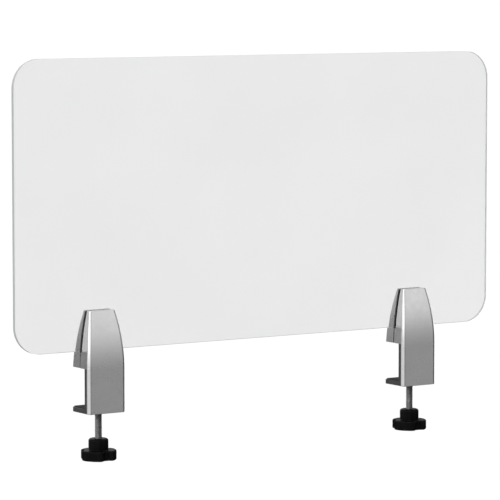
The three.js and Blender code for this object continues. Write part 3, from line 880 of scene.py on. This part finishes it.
def desk_pad(low, high):
    """A pad with ribs along its underside, which grip the desk."""
    half = (high.x - low.x) / 2
    count = round((high.y - low.y) / RIB_PITCH)
    pitch = (high.y - low.y) / count

    def section(x, inset):
        points = [(low.y + inset, high.z), (low.y + inset, low.z + RIB_DEPTH)]
        for i in range(count):
            for share, rise in RIB_SECTION:
                y = min(max(low.y + pitch * (i + share), low.y + inset), high.y - inset)
                points.append((y, low.z + rise * RIB_DEPTH + inset))
        points += [(high.y - inset, low.z + RIB_DEPTH), (high.y - inset, high.z)]
        return [(x, y, min(z, high.z)) for y, z in points]

    stations = [(-half + rise, inset) for inset, rise in edge_steps(RUBBER_EDGE, EDGE_STEPS)]
    stations += [(-x, inset) for x, inset in reversed(stations)]
    return mesh_of([section(x, inset) for x, inset in stations])


def foot_pad():
    """A rubber disc with concentric grooves in its top."""
    low, high = FOOT_PAD_LOW, FOOT_PAD_HIGH
    radius = (high.x - low.x) / 2
    edge = edge_steps(RUBBER_EDGE, EDGE_STEPS)
    rings = [circle(radius - inset, low.z + rise) for inset, rise in edge]
    rings += [circle(radius - inset, high.z - rise) for inset, rise in reversed(edge)]
    for groove in reversed(FOOT_GROOVES):
        outer, inner = groove + GROOVE_WIDTH, groove - GROOVE_WIDTH
        rings += [circle(outer, high.z), circle(groove, high.z - GROOVE_DEPTH), circle(inner, high.z)]
    return at_screw(mesh_of(rings))


# ---- Screws, foot and knob, made about Z ---------------------------------------------------------

SCREW_THREAD = {"radius": SCREW_RADIUS, "depth": 0.7, "pitch": 1.25, "segments": 48}
JAW_THREAD = {"radius": JAW_SCREW_RADIUS, "depth": 0.45, "pitch": 0.8, "segments": 72}
# A turned outline is a list of (inset from the radius, distance from the end)

HEX_HEAD = 13  # across flats
HEX_HEAD_HEIGHT = 5.3
HEX_CHAMFER = 0.8
HEAD_UNDERCUT = 1  # plain length between the head and the thread
NECK_RADIUS = 3
NECK_START = 1.2  # below the foot
NECK_TAPER = 0.5
NECK_TIP = [(0, 1), (0.8, 0.2), (1, 0)]

SOCKET_LEAD = 0.3
JAW_SOCKET = 4  # across flats
JAW_SOCKET_DEPTH = 2.5
JAW_SCREW_TIP = (0.8, 0.5)
JAW_SCREW_PLAIN = 3  # length under the head without thread
THREAD_RUN_OUT = 0.4
KNURL_DEPTH = 0.13
KNURL_START = 0.3  # above the head's seat
KNURL_END = 0.9  # below the head's top
JAW_SCREW_CROWN = [(KNURL_DEPTH, 0.7), (0.25, 0.3), (0.6, 0)]

BRACKET_SOCKET = 2.5  # across flats
BRACKET_SOCKET_DEPTH = 1.1
BRACKET_SCREW_TIP = 0.5
COUNTERSUNK_RIM = [(0, 0.05), (0.1, 0)]
BRACKET_SCREW_SEGMENTS = 48

FOOT_SIDE = [(1, 0), (0.3, 0.3), (0, 1), (0, 1.4), (0.4, 1.7), (0.4, 2.1), (0, 2.4)]
FOOT_RIM = [(0, 0.4), (0.12, 0.12), (0.4, 0)]
FOOT_SOCKET_CHAMFER = 0.3
FOOT_SEGMENTS = 64

HUB_RADIUS = 10.5
HUB_SHOULDER = 2.5
HUB_FILLET = 0.8
BORE_CHAMFER = 0.5
KNOB_BASE_HEIGHT = 10.6
KNOB_EDGE = 1.5
KNOB_EDGE_STEPS = 7
SHOULDER_STEPS = 8
FILLET_STEPS = 5
LOBE_RADIUS = 19
LOBES = 3
FLUTE_RADIUS = 7
FLUTE_CENTRE = 21.6  # from the knob's axis to the centre of a flute
FIRST_FLUTE = -86  # degrees
LOBE_SOFTNESS = 2
POCKET_CHAMFER = 0.3
KNOB_SEGMENTS = 180

CAP_EDGE = 0.4
CAP_CHAMFER = 0.2
CAP_RIM = 1.8
CAP_RECESS = 0.4
CAP_MIDDLE = 1
CAP_SEGMENTS = 72


def clamp_screw():
    """M8 screw: a hex head that sits in the knob, a thread, and a plain neck that turns in the foot."""
    bm = bmesh.new()
    segments = SCREW_THREAD["segments"]
    head_low = SCREW_LOW.z
    head_high = head_low + HEX_HEAD_HEIGHT
    core = SCREW_RADIUS - SCREW_THREAD["depth"]
    neck_low = FOOT_LOW.z - NECK_START
    bottom, top = screw_thread(bm, low=head_high + HEAD_UNDERCUT, high=neck_low, **SCREW_THREAD)
    ring = continue_ring(bm, bottom, circle(core, head_high, segments))
    ring = continue_ring(bm, ring, hexagon(HEX_HEAD, head_high, segments))
    ring = continue_ring(bm, ring, hexagon(HEX_HEAD, head_low + HEX_CHAMFER, segments))
    ring = continue_ring(bm, ring, circle(HEX_HEAD / 2 - HEX_CHAMFER, head_low, segments))
    bm.faces.new(ring)
    ring = continue_ring(bm, top, circle(NECK_RADIUS, neck_low + NECK_TAPER, segments))
    for inset, depth in NECK_TIP:
        ring = continue_ring(bm, ring, circle(NECK_RADIUS - inset, SCREW_HIGH.z - depth, segments))
    bm.faces.new(ring)
    return at_screw(mesh_from(bm))


def at_screw(mesh):
    """Moves a mesh made about Z to the clamp screw's axis."""
    mesh.transform(Matrix.Translation((0, SCREW_Y, 0)))
    return mesh


def socket_rings(bm, ring, flats, depth, top, segments):
    """A hex socket with a countersunk mouth, from a ring on the head's flat top."""
    mouth = flats / math.sqrt(3) + SOCKET_LEAD
    ring = continue_ring(bm, ring, circle(mouth, top, segments))
    for below in (SOCKET_LEAD, depth):
        ring = continue_ring(bm, ring, hexagon(flats, top - below, segments))
    bm.faces.new(ring)


def knurled_ring(radius, height, segments):
    """A ring with every second point set in, for a straight knurl."""
    ring = []
    for i, (x, y, z) in enumerate(circle(1, height, segments)):
        reach = radius - KNURL_DEPTH * (i % 2)
        ring.append((x * reach, y * reach, z))
    return ring


def jaw_screw():
    """M5 cap screw with a knurled head."""
    bm = bmesh.new()
    segments = JAW_THREAD["segments"]
    tip, top = JAW_SCREW_LOW.y, JAW_SCREW_HIGH.y
    seat = top - JAW_SCREW_HEAD_LENGTH
    radius = JAW_SCREW_RADIUS
    head = JAW_SCREW_HEAD_RADIUS
    tip_inset, tip_length = JAW_SCREW_TIP
    plain = seat - JAW_SCREW_PLAIN
    bottom, shank = screw_thread(bm, low=tip + tip_length, high=plain, **JAW_THREAD)
    ring = continue_ring(bm, bottom, circle(radius - tip_inset, tip, segments))
    bm.faces.new(ring)
    rings = [
        circle(radius, plain + THREAD_RUN_OUT, segments),
        circle(radius, seat, segments),
        circle(head - KNURL_START, seat, segments),
        knurled_ring(head, seat + KNURL_START, segments),
        knurled_ring(head, top - KNURL_END, segments),
    ]
    rings += [circle(head - inset, top - depth, segments) for inset, depth in JAW_SCREW_CROWN]
    ring = shank
    for points in rings:
        ring = continue_ring(bm, ring, points)
    socket_rings(bm, ring, JAW_SOCKET, JAW_SOCKET_DEPTH, top, segments)
    return mesh_from(bm)


def bracket_screw():
    """M4 countersunk screw."""
    bm = bmesh.new()
    tip, top = BRACKET_SCREW_LOW.y, BRACKET_SCREW_HIGH.y
    radius = BRACKET_SCREW_RADIUS
    head = COUNTERSUNK_RADIUS
    segments = BRACKET_SCREW_SEGMENTS
    profile = [
        (radius, tip + BRACKET_SCREW_TIP),
        (radius, -COUNTERSUNK_DEPTH - GAP),
        (head, -COUNTERSUNK_LIP - GAP),
    ]
    profile += [(head - inset, top - depth) for inset, depth in COUNTERSUNK_RIM]
    ring = [bm.verts.new(point) for point in circle(radius - BRACKET_SCREW_TIP, tip, segments)]
    bm.faces.new(ring)
    for reach, height in profile:
        ring = continue_ring(bm, ring, circle(reach, height, segments))
    socket_rings(bm, ring, BRACKET_SOCKET, BRACKET_SOCKET_DEPTH, top, segments)
    return mesh_from(bm)


def pressure_foot():
    """A turned foot with a socket for the screw's neck and a shallow groove round its side."""
    radius = (FOOT_HIGH.x - FOOT_LOW.x) / 2
    low, high = FOOT_LOW.z, FOOT_HIGH.z
    socket = NECK_RADIUS + CLEARANCE
    chamfer = FOOT_SOCKET_CHAMFER
    profile = [(socket, SCREW_HIGH.z + CLEARANCE), (socket, low + chamfer), (socket + chamfer, low)]
    profile += [(radius - inset, low + rise) for inset, rise in FOOT_SIDE]
    profile += [(radius - inset, high - depth) for inset, depth in FOOT_RIM]
    return at_screw(mesh_of([circle(r, z, FOOT_SEGMENTS) for r, z in profile]))


def knob_outline(angle, inset):
    """Distance from the axis to the lobed base's outline in one direction, with softened lobe edges."""
    outer = LOBE_RADIUS - inset
    flute = FLUTE_RADIUS + inset
    sector = 2 * math.pi / LOBES
    turn = (angle - math.radians(FIRST_FLUTE) + sector / 2) % sector - sector / 2
    across = FLUTE_CENTRE * math.sin(turn)
    if abs(across) >= flute:
        return outer
    wall = FLUTE_CENTRE * math.cos(turn) - math.sqrt(flute**2 - across**2)
    blend = min(1, max(0, 0.5 + 0.5 * (outer - wall) / LOBE_SOFTNESS))
    return outer + (wall - outer) * blend - LOBE_SOFTNESS * blend * (1 - blend)


def knob():
    """The knob in one loop: down its outside, up through the cap's pocket, the hex and the bore."""

    def lobed(inset, z):
        reach = [knob_outline(math.atan2(y, x), inset) for x, y, _ in circle(1, z, KNOB_SEGMENTS)]
        return [(x * r, y * r, z) for r, (x, y, z) in zip(reach, circle(1, z, KNOB_SEGMENTS))]

    def round_ring(radius, z):
        return circle(radius, z, KNOB_SEGMENTS)

    low, high = KNOB_LOW.z, KNOB_HIGH.z
    base_top = low + KNOB_BASE_HEIGHT
    bore = SCREW_RADIUS + CLEARANCE
    pocket = (CAP_HIGH.x - CAP_LOW.x) / 2 + CLEARANCE
    pocket_top = CAP_HIGH.z + GAP
    hex_top = SCREW_LOW.z + HEX_HEAD_HEIGHT + GAP
    flats = HEX_HEAD + 2 * CLEARANCE
    rings = [round_ring(bore, high - BORE_CHAMFER), round_ring(bore + BORE_CHAMFER, high)]
    for x, z in reversed(arc(HUB_SHOULDER, 0, 90, SHOULDER_STEPS)):
        rings.append(round_ring(HUB_RADIUS - HUB_SHOULDER + x, high - HUB_SHOULDER + z))
    for x, z in arc(HUB_FILLET, 180, 270, FILLET_STEPS):
        rings.append(round_ring(HUB_RADIUS + HUB_FILLET + x, base_top + HUB_FILLET + z))
    edge = edge_steps(KNOB_EDGE, KNOB_EDGE_STEPS)
    rings += [lobed(inset, base_top - rise) for inset, rise in edge]
    rings += [lobed(inset, low + rise) for inset, rise in reversed(edge)]
    rings += [round_ring(pocket + POCKET_CHAMFER, low), round_ring(pocket, low + POCKET_CHAMFER)]
    rings += [round_ring(pocket, pocket_top), hexagon(flats, pocket_top, KNOB_SEGMENTS)]
    rings += [hexagon(flats, hex_top, KNOB_SEGMENTS), round_ring(bore, hex_top)]
    return at_screw(mesh_of(rings, loop=True))


def knob_cap():
    """A disc with a raised rim round its underside."""
    low, high = CAP_LOW.z, CAP_HIGH.z
    radius = (CAP_HIGH.x - CAP_LOW.x) / 2
    profile = [(radius - CAP_CHAMFER, high), (radius, high - CAP_CHAMFER)]
    profile += [(radius - inset, low + rise) for inset, rise in reversed(edge_steps(CAP_EDGE))]
    profile += [(radius - CAP_RIM, low), (radius - CAP_RIM - CAP_RECESS, low + CAP_RECESS)]
    profile.append((CAP_MIDDLE, low + CAP_RECESS))
    return at_screw(mesh_of([circle(r, z, CAP_SEGMENTS) for r, z in profile]))


# ---- Sheet ---------------------------------------------------------------------------------------

SHEET_CORNER = 30
SHEET_CORNER_STEPS = 32
SHEET_EDGE = 0.3
RIM_FACING = 0.6  # a face that faces the front or back less than this belongs to the rim


def acrylic_sheet():
    """The sheet, with round corners and slightly rounded edges."""
    low, high = SHEET_LOW, SHEET_HIGH

    def outline(inset):
        corner = SHEET_CORNER - inset
        lower = (low.x + inset, low.z + inset)
        upper = (high.x - inset, high.z - inset)
        return round_box(*lower, *upper, corner, corner, SHEET_CORNER_STEPS)

    return mesh_of(upright(plate(outline, low.y, high.y, SHEET_EDGE)))


def add_sheet():
    """The sheet, with clear faces and a rim of its own finish, darkened by painted shade."""
    finish = ("acrylic", clear_acrylic())
    sheet = add_piece("clear_sheet", acrylic_sheet(), (0, 0, 0), finish, "sheet", "acrylic_sheet")
    sheet.data.materials.append(painted_shade_rim_finish())
    for face in sheet.data.polygons:
        if abs(face.normal.y) < RIM_FACING:
            face.material_index = 1


# ---- The whole object ----------------------------------------------------------------------------

add_camera()
add_world()
add_sun()
add_floor()
add_sheet()

METAL = ("cast_metal", cast_metal())
STEEL = ("dark_steel", dark_steel())
ZINC = ("zinc_steel", zinc_steel())
RUBBER = ("rubber", rubber())
PLASTIC = ("black_plastic", black_plastic())

# One clamp's pieces about its own middle: (name, mesh, finish, body, the node it replaces)
parts = [
    ("front_casting", front_casting(), METAL, "clamps", "front_body"),
    ("rear_casting", rear_casting(), METAL, "jaw", "rear_jaw"),
    ("bracket", steel_bracket(), STEEL, "clamps", "steel_bracket"),
    ("flange_rubber", flange_pad(), RUBBER, "clamps", "flange_pad"),
    ("front_lining", jaw_liner(LINER_LOW, LINER_HIGH), RUBBER, "clamps", "front_liner"),
    ("rear_lining", jaw_liner(REAR_LINER_LOW, REAR_LINER_HIGH), RUBBER, "jaw", "rear_liner"),
    ("ledge_rubber", ledge_strip(), RUBBER, "clamps", "ledge_strip"),
    ("ledge_grip", desk_pad(LEDGE_PAD_LOW, LEDGE_PAD_HIGH), RUBBER, "clamps", "ledge_desk_pad"),
    ("jaw_grip", desk_pad(JAW_PAD_LOW, JAW_PAD_HIGH), RUBBER, "jaw", "jaw_desk_pad"),
    ("threaded_screw", clamp_screw(), ZINC, "spindle", "clamp_screw"),
    ("turned_foot", pressure_foot(), ZINC, "pressure_foot", "foot"),
    ("foot_rubber", foot_pad(), RUBBER, "pressure_foot", "foot_pad"),
    ("lobed_knob", knob(), PLASTIC, "spindle", "knob"),
    ("knob_plug", knob_cap(), PLASTIC, "spindle", "knob_cap"),
]
for name, z in zip(("upper", "lower"), BRACKET_SCREW_HEIGHTS):
    screw = along_y(bracket_screw(), 0, z)
    parts.append((f"countersunk_{name}", screw, ZINC, "clamps", f"bracket_screw_{name}"))
for letter, x in (("a", -JAW_SCREW_X), ("b", JAW_SCREW_X)):
    screw = along_y(jaw_screw(), x, JAW_SCREW_HEIGHT)
    parts.append((f"cap_screw_{letter}", screw, ZINC, f"jaw_bolt_{letter}", f"jaw_screw_{letter}"))

for side, x in (("left", LEFT_X), ("right", RIGHT_X)):
    for name, mesh, finish, body, replaced in parts:
        rides_on = body if body == "clamps" else f"{side}_{body}"
        add_piece(f"{side}_{name}", mesh, (x, 0, 0), finish, rides_on, f"{side}_{replaced}")

bpy.context.scene.view_settings.view_transform = "Standard"
